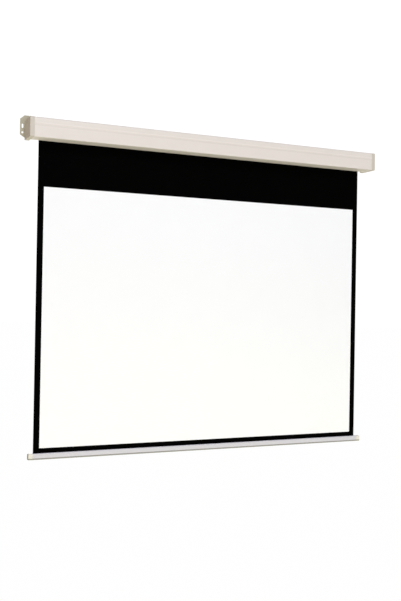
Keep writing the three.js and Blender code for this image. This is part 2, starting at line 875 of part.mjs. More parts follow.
function motorTube() {
  const crimpLeft = motorStart + crimpSetIn;
  const crimpRight = motorEnd - crimpSetIn;
  const body = turnedAboutX([
    [motorStart, 0],
    [motorStart, motorRadius - motorChamfer],
    [motorStart + motorChamfer, motorRadius],
    [crimpLeft, motorRadius],
    [crimpLeft + crimpWidth / 2, motorRadius - crimpDepth],
    [crimpLeft + crimpWidth, motorRadius],
    [crimpRight - crimpWidth, motorRadius],
    [crimpRight - crimpWidth / 2, motorRadius - crimpDepth],
    [crimpRight, motorRadius],
    [motorEnd - motorChamfer, motorRadius],
    [motorEnd, motorRadius - motorChamfer],
    [motorEnd, 0],
  ]);
  return cut(body, rodAlongX(shaftRadius + runGap, motorStart - overrun, motorStart + shaftSunk + seatGap));
}

// The shaft has a flat through the drive wheel and a groove for the clip that keeps the wheel on
function motorShaft() {
  const body = turnedAboutX([
    [shaftEnd, 0],
    [shaftEnd, shaftRadius],
    [clipLeft - seatGap, shaftRadius],
    [clipLeft - seatGap, shaftRadius - clipGroove],
    [clipRight + snapGap, shaftRadius - clipGroove],
    [clipRight + snapGap, shaftRadius],
    [motorStart + shaftSunk, shaftRadius],
    [motorStart + shaftSunk, 0],
  ]);
  const flat = block(
    driveLeft,
    driveRight + seatGap,
    -shaftRadius - overrun,
    shaftRadius + overrun,
    shaftRadius - shaftFlat,
    shaftRadius + overrun,
  );
  return cut(body, flat);
}

function driveWheel() {
  const wheel = tubeInsert(driveLeft, driveRight, plugWall, driveHubRadius, shaftRadius + runGap);
  const key = block(
    driveLeft,
    driveRight,
    -shaftRadius,
    shaftRadius,
    shaftRadius - shaftFlat + runGap,
    shaftRadius + ribThickness,
  );
  return joined(wheel, key);
}

function shaftClip() {
  const ring = cut(
    rodAlongX(clipRadius, clipLeft, clipRight),
    rodAlongX(shaftRadius - clipGroove + runGap, clipLeft - overrun, clipRight + overrun),
  );
  const opening = block(
    clipLeft - overrun,
    clipRight + overrun,
    0,
    clipRadius + overrun,
    -clipOpening / 2,
    clipOpening / 2,
  );
  return cut(ring, opening);
}

// The crown ring turns with the tube and runs on the motor head's neck
function crownRing() {
  const flangeStart = tubeRight + seatGap;
  const body = turnedAboutX([
    [tubeRight - crownDepth, 0],
    [tubeRight - crownDepth, tubeInnerRadius - seatGap],
    [flangeStart, tubeInnerRadius - seatGap],
    [flangeStart, tubeRadius],
    [crownOuter, tubeRadius],
    [crownOuter, 0],
  ]);
  return cut(
    body,
    rodAlongX(neckRadius + crownGap, tubeRight - crownDepth - overrun, crownOuter + overrun),
    grooveRidge(kederBore + grooveWall + seatGap, tubeRight - crownDepth - overrun, flangeStart),
  );
}

// Limit screws: small adjusters with a hexagon socket, sunk in the motor head
function limitScrew() {
  const to = plateFace + limitScrewProud;
  const socketRadius = limitKeyFlats / 2 / Math.cos(Math.PI / socketSides);
  return cut(
    rodAlongX(limitScrewRadius, plateFace - limitScrewSunk, to),
    rodAlongX(socketRadius, to - limitKeyDepth, to + overrun, 0, 0, socketSides),
  );
}

// Cable gland: a snap-in bush in the end cap's wall, with its flange outside and a barb inside
function cableGland() {
  const wallInner = caseEnd - capEndWall;
  const flangeStart = caseEnd + snapGap;
  const flangeEnd = flangeStart + glandFlange;
  const barbStart = wallInner - snapGap;
  const body = turnedAboutX([
    [barbStart - glandBarbLength, 0],
    [barbStart - glandBarbLength, glandNeckRadius - glandBarb],
    [barbStart, glandReach],
    [barbStart, glandNeckRadius],
    [flangeStart, glandNeckRadius],
    [flangeStart, glandFlangeRadius],
    [flangeEnd - glandFlange / 2, glandFlangeRadius],
    [flangeEnd, glandFlangeRadius - glandFlange / 2],
    [flangeEnd, 0],
  ], holeSides);
  return cut(body, rodAlongX(glandBore, barbStart - glandBarbLength - overrun, flangeEnd + overrun, 0, 0, holeSides));
}

// Bottom bar, drawn about the fabric's plane with its top face at z = 0
const barEnd = fabricWidth / 2 + barProfilePast;
const hemBore = hemRodRadius + hemClearance;
const hemCentre = -barWall - hemBore;
const bayTop = hemCentre - hemBore - barWeb;
const bayFloor = bayTop - 2 * (weightRadius + seatGap) - weightPlay;
const barBottom = bayFloor - barWall;
const bayHalf = barDepth / 2 - barWall;

function barOutline(half, bottom, top, radius) {
  return rectangle(-half, bottom, half, top, [radius, radius, radius, radius]);
}

function barProfile() {
  const half = barDepth / 2;
  const body = runAlongX(barOutline(half, barBottom, 0, barRadius), -barEnd, barEnd);
  const hemChamber = rodAlongX(hemBore, -barEnd - overrun, barEnd + overrun, 0, hemCentre, roundSides / 2);
  const mouth = block(-barEnd - overrun, barEnd + overrun, -barMouth / 2, barMouth / 2, hemCentre, overrun);
  const bay = runAlongX(
    barOutline(bayHalf, bayFloor, bayTop, barRadius - barWall),
    -barEnd - overrun,
    barEnd + overrun,
  );
  const screwHoles = [-1, 1].map((side) => (
    placed(sunkSeat(barWall + overrun), turns.toDown, side * (barEnd - barScrewSetIn), 0, barBottom)
  ));
  return cut(body, hemChamber, mouth, bay, ...screwHoles);
}

// Right-hand bar cap: domed at its end, with a spigot that fills the weight's bay
function barCap() {
  const half = barDepth / 2;
  const from = barEnd + seatGap;
  const to = barEnd + barCapLength;
  const straight = to - barCapDome;
  const shellPart = runAlongX(barOutline(half, barBottom, 0, barCapRadius), from, straight);
  const domeInset = barCapDome / 2;
  const dome = runAlongX(
    barOutline(half - domeInset, barBottom + domeInset, -domeInset, barCapRadius - domeInset),
    straight,
    to,
  );
  const spigot = runAlongX(
    barOutline(bayHalf - seatGap, bayFloor + seatGap, bayTop - seatGap, barRadius - barWall),
    barEnd - barSpigotDepth,
    from + overrun,
  );
  const screwSeat = placed(
    sunkSeat(barScrewLength + seatGap),
    turns.toDown,
    barEnd - barScrewSetIn,
    0,
    barBottom,
  );
  return cut(joined(shellPart, dome, spigot), screwSeat);
}

function weightRod() {
  const reach = barEnd - barSpigotDepth - seatGap;
  return rodAlongX(weightRadius, -reach, reach, 0, bayFloor + seatGap + weightRadius, roundSides / 2);
}

function hemRod() {
  return rodAlongX(hemRodRadius, -fabricWidth / 2, fabricWidth / 2, 0, hemCentre, roundSides / 2);
}

// The hanging fabric, from the back of the roller to the hem rod inside the bar
function hangingFabric() {
  const bottom = barTop + hemCentre + hemRodRadius + seatGap;
  return block(fabricLeft, fabricRight, -fabricThickness / 2, fabricThickness / 2, bottom, -seatGap);
}

// Assembly
const screen = new THREE.Group();
const housing = new THREE.Group();
const rollerGroup = new THREE.Group();
const fabricGroup = new THREE.Group();
const barGroup = new THREE.Group();
rollerGroup.position.set(0, rollerY, 0);
fabricGroup.position.set(0, fabricY, 0);
barGroup.position.set(fabricOffset + barShift, fabricY, barTop);
screen.add(housing, rollerGroup, fabricGroup, barGroup);

housing.add(
  partMesh('case_profile', caseProfile(), coatedWhite),
  partMesh('end_cap_left', mirroredInX(endCapBlank()), capPlastic),
  partMesh('end_cap_right', endCapRight(), capPlastic),
  partMesh('wall_bracket_left', mirroredInX(wallBracket()), bracketSteel),
  partMesh('wall_bracket_right', wallBracket(), bracketSteel),
  partMesh('idler_bracket', idlerBracket(), plainSteel),
  partMesh('motor_bracket', motorBracket(), plainSteel),
);

const gland = partMesh('cable_gland', cableGland(), mouldedBlack);
gland.position.set(0, glandY, glandRise);
housing.add(gland);

for (const [side, end] of [[-1, 'left'], [1, 'right']]) {
  const turn = side < 0 ? Math.PI : 0;
  portPlaces.forEach(([y, z], i) => {
    const screw = partMesh(`cap_screw_${end}_${i + 1}`, panScrew(capScrewLength), screwSteel);
    screw.rotation.z = turn;
    screw.position.set(side * caseEnd, y, z);
    housing.add(screw);
  });
  wallScrewHeights.forEach((z, i) => {
    const screw = partMesh(`wall_bracket_screw_${end}_${i + 1}`, sunkScrew(wallScrewLength), screwSteel);
    screw.rotation.z = Math.PI / 2;
    screw.position.set(side * wallScrewX, 0, z);
    housing.add(screw);
  });
  plateScrewHeights.forEach((z, i) => {
    const screw = partMesh(`plate_screw_${end}_${i + 1}`, panScrew(plateScrewLength), screwSteel);
    screw.rotation.z = turn;
    screw.position.set(side * (caseEnd + panHeadHeight + snapGap), rollerY, z);
    housing.add(screw);
  });
}

rollerGroup.add(
  partMesh('idler_bush', idlerBush(), mouldedBlack),
  partMesh('idler_pin', idlerPin(), plainSteel),
  partMesh('idler_plug', idlerPlug(), mouldedGrey),
  partMesh('roller_tube', rollerTube(), rollerAluminium),
  partMesh('top_keder', topKeder(), mouldedGrey),
  partMesh('fabric_roll', fabricRoll(), blackCloth),
  partMesh('crown_ring', crownRing(), mouldedGrey),
  partMesh('drive_wheel', driveWheel(), mouldedGrey),
  partMesh('shaft_clip', shaftClip(), plainSteel),
  partMesh('motor_shaft', motorShaft(), plainSteel),
  partMesh('motor_tube', motorTube(), coatedWhite),
  partMesh('motor_head', motorHead(), mouldedBlack),
);

['limit_screw_up', 'limit_screw_down'].forEach((name, i) => {
  const screw = partMesh(name, limitScrew(), limitColour);
  screw.position.set(0, ...limitPlacesOnRoller[i]);
  rollerGroup.add(screw);
});

fabricGroup.add(partMesh('screen_fabric', hangingFabric(), screenCloth));

barGroup.add(
  partMesh('bar_profile', barProfile(), barCoat),
  partMesh('bar_cap_left', mirroredInX(barCap()), barCoat),
  partMesh('bar_cap_right', barCap(), barCoat),
  partMesh('weight_rod', weightRod(), plainSteel),
);

const hem = partMesh('hem_rod', hemRod(), mouldedGrey);
hem.position.set(-barShift, 0, 0);
barGroup.add(hem);

for (const [side, end] of [[-1, 'left'], [1, 'right']]) {
  const screw = partMesh(`bar_cap_screw_${end}`, sunkScrew(barScrewLength), screwSteel);
  screw.rotation.y = Math.PI / 2;
  screw.position.set(side * (barEnd - barScrewSetIn), 0, barBottom);
  barGroup.add(screw);
}

console.log(`least gap between turns of the roll: ${leastTurnGap().toFixed(2)} mm`);

export default screen;
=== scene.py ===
import json
import math

import bmesh
import bpy
from mathutils import Matrix, Vector, noise

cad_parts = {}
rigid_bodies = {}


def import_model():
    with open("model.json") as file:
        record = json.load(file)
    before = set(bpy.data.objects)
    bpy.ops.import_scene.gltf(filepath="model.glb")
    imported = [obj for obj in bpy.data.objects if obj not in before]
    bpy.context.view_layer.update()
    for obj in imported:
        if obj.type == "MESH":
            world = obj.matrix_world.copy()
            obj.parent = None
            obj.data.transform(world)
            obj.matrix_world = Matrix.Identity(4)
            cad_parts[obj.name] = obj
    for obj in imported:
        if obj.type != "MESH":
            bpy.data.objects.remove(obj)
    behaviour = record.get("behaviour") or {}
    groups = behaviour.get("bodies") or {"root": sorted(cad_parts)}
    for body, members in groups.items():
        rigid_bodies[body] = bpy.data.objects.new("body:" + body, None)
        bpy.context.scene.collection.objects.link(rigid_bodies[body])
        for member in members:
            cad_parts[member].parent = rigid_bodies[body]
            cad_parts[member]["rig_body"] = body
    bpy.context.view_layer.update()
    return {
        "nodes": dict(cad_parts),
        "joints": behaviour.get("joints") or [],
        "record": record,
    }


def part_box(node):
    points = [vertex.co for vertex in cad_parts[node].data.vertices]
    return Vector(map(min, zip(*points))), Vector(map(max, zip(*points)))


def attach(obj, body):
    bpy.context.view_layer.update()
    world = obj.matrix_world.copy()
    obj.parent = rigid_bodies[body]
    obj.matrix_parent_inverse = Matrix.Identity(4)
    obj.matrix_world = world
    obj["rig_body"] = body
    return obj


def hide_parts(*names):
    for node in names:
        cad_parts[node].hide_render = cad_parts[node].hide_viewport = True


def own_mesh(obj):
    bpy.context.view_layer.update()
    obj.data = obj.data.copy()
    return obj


# A motorised projector screen in a wall case, with its fabric drawn right down.
# Metres, with +Z up, +X to the right seen from the front and +Y into the wall.
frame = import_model()

MM = 0.001
MICRON = 0.000001

leftwards = (-1, 0, 0)
rightwards = (1, 0, 0)
forwards = (0, -1, 0)
upwards = (0, 0, 1)
downwards = (0, 0, -1)


# Places and sizes taken from the frame

case_low, case_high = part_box("case_profile")
fabric_low, fabric_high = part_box("screen_fabric")
bar_low, bar_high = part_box("bar_profile")
bar_end_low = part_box("bar_cap_left")[0]
joints = {joint["name"]: joint for joint in frame["joints"]}
roller_axis = Vector(joints["roller_spin"]["pos_m"])
slot_of = {part["node"]: part["material_slot"] for part in frame["record"]["subparts"]}

fabric_x = (fabric_low.x + fabric_high.x) / 2
fabric_y = (fabric_low.y + fabric_high.y) / 2
fabric_z = (fabric_low.z + fabric_high.z) / 2
fabric_width = fabric_high.x - fabric_low.x
fabric_thickness = fabric_high.y - fabric_low.y
fabric_drop = fabric_high.z - fabric_low.z


# Building blocks of the node trees

# The values of a noise texture lie round this one
noise_middle = 0.5

# The Mix node keeps its two colours and the mixed one under these numbers
mix_low = 6
mix_high = 7
mix_result = 2


def feed(tree, node, settings):
    """Fill a node's inputs by name or number: another socket is linked, a plain value is set"""
    for name, value in settings.items():
        socket = node.inputs[name]
        if isinstance(value, bpy.types.NodeSocket):
            tree.links.new(value, socket)
        elif socket.type == "RGBA":
            socket.default_value = (*value, 1.0)
        else:
            socket.default_value = value


def add_node(tree, kind, settings=None, **options):
    """One node, with its options set by attribute and its inputs fed"""
    made = tree.nodes.new(kind)
    for option, value in options.items():
        setattr(made, option, value)
    feed(tree, made, settings or {})
    return made


def math_node(tree, operation, first, second=0.0):
    """A sum on one or two sockets or numbers"""
    return add_node(tree, "ShaderNodeMath", {0: first, 1: second}, operation=operation).outputs["Value"]


def vector_node(tree, operation, first, second):
    """A sum on two vectors, with its results by name"""
    return add_node(tree, "ShaderNodeVectorMath", {0: first, 1: second}, operation=operation).outputs


def noise_node(tree, place, scale, detail, roughness=0.5):
    """Soft noise that changes from place to place"""
    settings = {"Vector": place, "Scale": scale, "Detail": detail, "Roughness": roughness}
    return add_node(tree, "ShaderNodeTexNoise", settings).outputs["Fac"]


def ramp_node(tree, value, settings=None, **options):
    """A value moved from one range to another, from 0 to 1 if nothing else is said"""
    made = add_node(tree, "ShaderNodeMapRange", settings, **options)
    feed(tree, made, {"Value": value})
    return made.outputs["Result"]


def per_metre(tree, size):
    """How many marks of a size go into a metre"""
    return math_node(tree, "DIVIDE", 1.0, size)


def centred(tree, values):
    """Noise values made to lie round nought"""
    return math_node(tree, "SUBTRACT", values, noise_middle)


# Node groups: each effect is built once and placed in the finishes with its own values

def effect_group(name, inputs, outputs):
    """A node group with named inputs, each with its usual value, and named outputs, and its two ends"""
    group = bpy.data.node_groups.new(name, "ShaderNodeTree")
    for socket, usual in inputs.items():
        kind = "NodeSocketVector" if isinstance(usual, tuple) else "NodeSocketFloat"
        made = group.interface.new_socket(socket, in_out="INPUT", socket_type=kind)
        made.default_value = usual
    for socket in outputs:
        group.interface.new_socket(socket, in_out="OUTPUT", socket_type="NodeSocketFloat")
    return group, group.nodes.new("NodeGroupInput").outputs, group.nodes.new("NodeGroupOutput")


def fine_grain_group():
    """The pebbled skin of powder coat and moulded plastic, with a faint drift of tone"""
    inputs = {
        "Vector": (0, 0, 0),
        "Grain Size": 0.6 * MM,
        "Drift Size": 120 * MM,
        "Drift": 0.05,
        "Speckle": 0.08,
    }
    group, given, end = effect_group("fine_grain", inputs, ["Height", "Tone"])
    pebble_scale = per_metre(group, given["Grain Size"])
    pebbles = noise_node(group, given["Vector"], pebble_scale, detail=2.0, roughness=0.45)
    drift_scale = per_metre(group, given["Drift Size"])
    drift = noise_node(group, given["Vector"], drift_scale, detail=3.0)
    slow = math_node(group, "MULTIPLY", centred(group, drift), given["Drift"])
    fast = math_node(group, "MULTIPLY", centred(group, pebbles), given["Speckle"])
    change = math_node(group, "ADD", slow, fast)
    feed(group, end, {"Height": pebbles, "Tone": math_node(group, "ADD", change, 1.0)})
    return group


def drawn_lines_group():
    """Fine lines along X, as a die or a brush leaves them on metal"""
    inputs = {"Vector": (0, 0, 0), "Line Width": 0.4 * MM, "Line Length": 80 * MM}
    group, given, end = effect_group("drawn_lines", inputs, ["Height"])
    across = per_metre(group, given["Line Width"])
    along = per_metre(group, given["Line Length"])
    stretch = add_node(group, "ShaderNodeCombineXYZ", {"X": along, "Y": across, "Z": across})
    place = vector_node(group, "MULTIPLY", given["Vector"], stretch.outputs["Vector"])["Vector"]
    feed(group, end, {"Height": noise_node(group, place, scale=1.0, detail=3.0)})
    return group


def plain_weave_group():
    """Warp and weft threads under a smooth coat, across X and down Z"""
    slub_scale = 9.0
    thread_share = 0.3
    inputs = {"Vector": (0, 0, 0), "Thread Pitch": 0.5 * MM}
    group, given, end = effect_group("plain_weave", inputs, ["Height", "Slub"])
    turns = math_node(group, "DIVIDE", math.pi, given["Thread Pitch"])
    place = add_node(group, "ShaderNodeSeparateXYZ", {"Vector": given["Vector"]}).outputs
    warp, weft = (
        math_node(group, "SINE", math_node(group, "MULTIPLY", place[axis], turns))
        for axis in ("X", "Z")
    )
    height = math_node(group, "MULTIPLY", warp, weft)
    slub = noise_node(group, given["Vector"], slub_scale, detail=4.0, roughness=0.6)
    thread = math_node(group, "MULTIPLY", height, thread_share)
    feed(group, end, {"Height": height, "Slub": math_node(group, "ADD", slub, thread)})
    return group


def edge_highlight_group():
    """A mask that is 1 on sharp outer edges, where the coat gets a painted highlight"""
    # Cosines of the turn from the face to its rounded edge, where the painted highlight begins and where
    # it is whole
    highlight_begins = 0.995
    highlight_whole = 0.85
    group, given, end = effect_group("rubbed_edges", {"Radius": 0.5 * MM}, ["Mask"])
    rounded = add_node(group, "ShaderNodeBevel", {"Radius": given["Radius"]}, samples=4)
    face = add_node(group, "ShaderNodeNewGeometry")
    turn = vector_node(group, "DOT_PRODUCT", rounded.outputs["Normal"], face.outputs["Normal"])
    mask = ramp_node(group, turn["Value"], {"From Min": highlight_begins, "From Max": highlight_whole})
    feed(group, end, {"Mask": mask})
    return group


def painted_light_band_group():
    """A mask for painted light and shade that grows to 1 past a start, measured along a direction, with a
    slightly uneven border
    """
    uneven_scale = 30.0
    inputs = {"Vector": (0, 0, 0), "Direction": downwards, "Start": 0.0, "Softness": 1.5 * MM}
    group, given, end = effect_group("grubby_band", inputs, ["Mask"])
    along = vector_node(group, "DOT_PRODUCT", given["Vector"], given["Direction"])["Value"]
    past = math_node(group, "SUBTRACT", along, given["Start"])
    steps = math_node(group, "DIVIDE", past, given["Softness"])
    uneven = noise_node(group, given["Vector"], uneven_scale, detail=3.0)
    moved = math_node(group, "ADD", steps, centred(group, uneven))
    feed(group, end, {"Mask": ramp_node(group, moved, interpolation_type="SMOOTHSTEP")})
    return group


fine_grain = fine_grain_group()
drawn_lines = drawn_lines_group()
plain_weave = plain_weave_group()
rubbed_edges = edge_highlight_group()
grubby_band = painted_light_band_group()


# Finishes: one material for each, named for what it is

# How far roughness goes either side of its value, on coats, drawn metal and cloth
coat_spread = 0.06
smoother_lines = 0.1
rougher_lines = 0.12
cloth_spread = 0.05
weave_depth = 22 * MICRON


def place_group(tree, group, settings=None):
    """An effect placed in a material on the piece's own coordinates, with its results by name"""
    made = add_node(tree, "ShaderNodeGroup", settings, node_tree=group)
    if "Vector" in made.inputs:
        feed(tree, made, {"Vector": add_node(tree, "ShaderNodeTexCoord").outputs["Object"]})
    return made.outputs


def new_finish(name, settings=None):
    """A material with its Principled shader, whose plain values are set on its own sockets"""
    material = bpy.data.materials.new(name)
    material.use_nodes = True
    tree = material.node_tree
    shader = tree.nodes["Principled BSDF"]
    feed(tree, shader, settings or {})
    return material, tree, shader


def relief(tree, height, depth):
    """A normal that shows a fine relief of a given depth"""
    settings = {"Height": height, "Distance": depth, "Strength": 1.0}
    return add_node(tree, "ShaderNodeBump", settings).outputs["Normal"]


def toned(tree, colour, tone):
    """A colour times a tone that changes over the surface"""
    settings = {0: colour, "Scale": tone}
    return add_node(tree, "ShaderNodeVectorMath", settings, operation="SCALE").outputs["Vector"]


def mixed(tree, mask, low, high):
    """A colour that goes from low to high with a mask"""
    settings = {"Factor": mask, mix_low: low, mix_high: high}
    return add_node(tree, "ShaderNodeMix", settings, data_type="RGBA").outputs[mix_result]


def spread(tree, value, low, high):
    """A roughness that follows a value between two ends"""
    return ramp_node(tree, value, {"To Min": low, "To Max": high})


def coated_finish(name, colour, edge_highlight_colour, grain_size, roughness, depth):
    """Paint or moulded plastic: a pebbled skin, a drift of tone and a painted highlight on its sharp
    edges
    """
    material, tree, shader = new_finish(name)
    grain = place_group(tree, fine_grain, {"Grain Size": grain_size})
    edges = place_group(tree, rubbed_edges)
    body = toned(tree, colour, grain["Tone"])
    looks = {
        "Base Color": mixed(tree, edges["Mask"], body, edge_highlight_colour),
        "Roughness": spread(tree, grain["Height"], roughness - coat_spread, roughness + coat_spread),
        "Normal": relief(tree, grain["Height"], depth),
    }
    feed(tree, shader, looks)
    return material


def metal_finish(name, colour, line_width, roughness, depth):
    """Bare or plated metal with fine drawn lines"""
    material, tree, shader = new_finish(name, {"Metallic": 1.0})
    lines = place_group(tree, drawn_lines, {"Line Width": line_width})
    grain = place_group(tree, fine_grain, {"Drift Size": 30 * MM, "Drift": 0.12})
    looks = {
        "Base Color": toned(tree, colour, grain["Tone"]),
        "Roughness": spread(tree, lines["Height"], roughness - smoother_lines, roughness + rougher_lines),
        "Normal": relief(tree, lines["Height"], depth),
    }
    feed(tree, shader, looks)
    return material


def cloth_finish(name, colour, slub_colour, roughness, gloss):
    """Coated cloth: the weave shows through its coat, with faint slubs"""
    material, tree, shader = new_finish(name, {"Specular IOR Level": gloss})
    weave = place_group(tree, plain_weave)
    looks = {
        "Base Color": mixed(tree, weave["Slub"], colour, slub_colour),
        "Roughness": spread(tree, weave["Slub"], roughness - cloth_spread, roughness + cloth_spread),
        "Normal": relief(tree, weave["Height"], weave_depth),
    }
    feed(tree, shader, looks)
    return material


def with_painted_light(material, bands, softness, colour):
    """A finish given painted light or shade where its bands meet, each a direction and a start along it
    """
    tree = material.node_tree
    shader = tree.nodes["Principled BSDF"]
    clean = shader.inputs["Base Color"].links[0].from_socket
    mask = None
    for direction, start in bands:
        settings = {"Direction": direction, "Start": start, "Softness": softness}
        band = place_group(tree, grubby_band, settings)["Mask"]
        mask = band if mask is None else math_node(tree, "MULTIPLY", mask, band)
    feed(tree, shader, {"Base Color": mixed(tree, mask, clean, colour)})


# The plain materials of the frame make room for finishes with their names
for plain in list(bpy.data.materials):
    bpy.data.materials.remove(plain)

# Each coat's edge colour, lighter than its body, is a painted highlight on its sharp edges
case_coat = coated_finish(
    "case_coat",
    colour=(0.738, 0.683, 0.648),
    edge_highlight_colour=(0.79, 0.74, 0.70),
    grain_size=0.9 * MM,
    roughness=0.42,
    depth=60 * MICRON,
)
cap_plastic = coated_finish(
    "cap_plastic",
    colour=(0.58, 0.53, 0.465),
    edge_highlight_colour=(0.65, 0.61, 0.56),
    grain_size=0.5 * MM,
    roughness=0.5,
    depth=40 * MICRON,
)
bracket_coat = coated_finish(
    "bracket_coat",
    colour=(0.42, 0.385, 0.285),
    edge_highlight_colour=(0.48, 0.44, 0.35),
    grain_size=0.7 * MM,
    roughness=0.4,
    depth=50 * MICRON,
)
black_plastic = coated_finish(
    "black_plastic",
    colour=(0.03, 0.03, 0.03),
    edge_highlight_colour=(0.05, 0.05, 0.05),
    grain_size=0.4 * MM,
    roughness=0.5,
    depth=30 * MICRON,
)
grey_plastic = coated_finish(
    "grey_plastic",
    colour=(0.30, 0.31, 0.33),
    edge_highlight_colour=(0.36, 0.37, 0.39),
    grain_size=0.4 * MM,
    roughness=0.5,
    depth=30 * MICRON,
)
limit_plastic = coated_finish(
    "limit_plastic",
    colour=(0.75, 0.55, 0.04),
    edge_highlight_colour=(0.80, 0.62, 0.12),
    grain_size=0.3 * MM,
    roughness=0.4,
    depth=20 * MICRON,
)
bar_coat = coated_finish(
    "bar_coat",
    colour=(0.615, 0.60, 0.665),
    edge_highlight_colour=(0.68, 0.665, 0.72),
    grain_size=0.6 * MM,
    roughness=0.36,
    depth=30 * MICRON,
)
bar_cap_plastic = coated_finish(
    "bar_cap_plastic",
    colour=(0.76, 0.73, 0.67),
    edge_highlight_colour=(0.80, 0.775, 0.72),
    grain_size=0.5 * MM,
    roughness=0.42,
    depth=25 * MICRON,
)
plate_steel = metal_finish(
    "plate_steel",
    colour=(0.55, 0.55, 0.56),
    line_width=0.3 * MM,
    roughness=0.38,
    depth=10 * MICRON,
)
screw_steel = metal_finish(
    "screw_steel",
    colour=(0.60, 0.58, 0.54),
    line_width=0.15 * MM,
    roughness=0.32,
    depth=6 * MICRON,
)
roller_aluminium = metal_finish(
    "roller_aluminium",
    colour=(0.60, 0.61, 0.63),
    line_width=0.5 * MM,
    roughness=0.34,
    depth=15 * MICRON,
)
screen_white = cloth_finish(
    "screen_white",
    colour=(0.905, 0.91, 0.95),
    slub_colour=(0.925, 0.93, 0.97),
    roughness=0.85,
    gloss=0.2,
)
screen_black = cloth_finish(
    "screen_black",
    colour=(0.0002, 0.0002, 0.0002),
    slub_colour=(0.001, 0.001, 0.0009),
    roughness=0.7,
    gloss=0.01,
)

# Painted shade: the lower edge of the bar and its caps, and the left cap's outer end, are coloured darker
# to stand for the shade that falls there
lower_band = 7.5 * MM
end_band = 2.5 * MM
band_softness = 1.5 * MM
bar_painted_shade = (0.27, 0.265, 0.26)
cap_painted_shade = (0.30, 0.29, 0.25)
lower_edge = (downwards, -bar_low.z - lower_band)
outer_end = (leftwards, -bar_end_low.x - end_band)
with_painted_light(bar_coat, [lower_edge], band_softness, bar_painted_shade)
with_painted_light(bar_cap_plastic, [lower_edge], band_softness, cap_painted_shade)
with_painted_light(bar_cap_plastic, [outer_end], band_softness, cap_painted_shade)

# On the front of the case alone, the bead gets a painted highlight and a faint painted shadow lies below
# it
front_skin = 4 * MM
bead_painted_highlight = (0.79, 0.733, 0.693)
bead_painted_shadow = (0.695, 0.642, 0.608)
for line_top, line_width, line_colour in (
    (21.5 * MM, 7 * MM, bead_painted_highlight),
    (30.5 * MM, 6.5 * MM, bead_painted_shadow),
):
    line_high = case_high.z - line_top
    line_low = line_high - line_width
    line_bands = [(downwards, -line_high), (upwards, line_low), (forwards, -case_low.y - front_skin)]
    with_painted_light(case_coat, line_bands, band_softness, line_colour)

finishes = {
    material.name: material
    for material in (
        case_coat, cap_plastic, bracket_coat, black_plastic, grey_plastic, limit_plastic, bar_coat,
        bar_cap_plastic, plate_steel, screw_steel, roller_aluminium, screen_white, screen_black,
    )
}


# Every CAD node that stays in view gets its finish from the record's slot

for node, solid in frame["nodes"].items():
    solid.data.materials.clear()
    solid.data.materials.append(finishes[slot_of[node]])


# Making of pieces

# Faces that meet at less than the first angle lie in one plane
one_plane = math.radians(0.5)
# Edges whose faces meet at more than this one are eased
eased_turn = math.radians(40)


def finished_piece(name, shape, materials, body):
    """An object at the origin, from a bmesh that holds its place, riding on a CAD body"""
    mesh = bpy.data.meshes.new(name)
    shape.to_mesh(mesh)
    shape.free()
    for material in materials:
        mesh.materials.append(material)
    piece = bpy.data.objects.new(name, mesh)
    bpy.context.scene.collection.objects.link(piece)
    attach(piece, body)
    return piece


def softened(node, name, edge, steps=2, smooth_below=30):
    """The finished form of a rigid CAD piece: the same shape with its edges eased by a small radius"""
    solid = frame["nodes"][node]
    shape = bmesh.new()
    shape.from_mesh(solid.data)
    bmesh.ops.remove_doubles(shape, verts=shape.verts, dist=MICRON)
    bmesh.ops.dissolve_limit(
        shape,
        angle_limit=one_plane,
        use_dissolve_boundaries=False,
        verts=shape.verts,
        edges=shape.edges,
    )
    slot = slot_of[node]
    piece = finished_piece(name, shape, [finishes[slot]], solid["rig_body"])
    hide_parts(node)
    piece.data.shade_smooth()
    piece.data.set_sharp_from_angle(angle=math.radians(smooth_below))
    eased = piece.modifiers.new("eased edges", "BEVEL")
    eased.width = edge
    eased.segments = steps
    eased.limit_method = "ANGLE"
    eased.angle_limit = eased_turn
    flat = piece.modifiers.new("flat faces stay flat", "WEIGHTED_NORMAL")
    flat.keep_sharp = True


# Case, end caps, wall brackets, bottom bar and screws

softened("case_profile", "case_shell", edge=0.25 * MM)
for side in ("left", "right"):
    softened(f"end_cap_{side}", f"end_cover_{side}", edge=0.7 * MM, steps=3)
    softened(f"wall_bracket_{side}", f"wall_ear_{side}", edge=0.4 * MM)
    softened(f"bar_cap_{side}", f"bar_end_{side}", edge=0.5 * MM)
softened("bar_profile", "bar_shell", edge=0.25 * MM)
softened("cable_gland", "lead_gland", edge=0.2 * MM, smooth_below=50)
for node in slot_of:
    for kind, plain_name in (
        ("cap_screw_", "end_cover_screw_"),
        ("plate_screw_", "inner_plate_screw_"),
        ("wall_bracket_screw_", "wall_ear_screw_"),
        ("bar_cap_screw_", "bar_end_screw_"),
    ):
        if node.startswith(kind):
            name = plain_name + node.removeprefix(kind)
            softened(node, name, edge=0.12 * MM, steps=1, smooth_below=50)


# Fabric

side_border = 26.5 * MM
bottom_border = 21 * MM
black_drop = 191.75 * MM
image_left = fabric_low.x + side_border
image_right = fabric_high.x - side_border
image_top = case_low.z - black_drop
image_bottom = bar_high.z + bottom_border

sheet_columns = 80
sheet_rows = 66
half_unit = 0.5

# The soft waves: how deep, how many to the metre each way, and which layer of the noise they follow
wave_depth = 0.7 * MM
waves_across = 2.6
waves_down = 0.7
wave_layer = 3.0
curl_depth = 0.5 * MM
curl_width = 60 * MM
still_length = 90 * MM

turns_kept = 1.75
turn_pitch = 0.95 * MM
steps_per_turn = 64
tail_length = 1.6 * MM


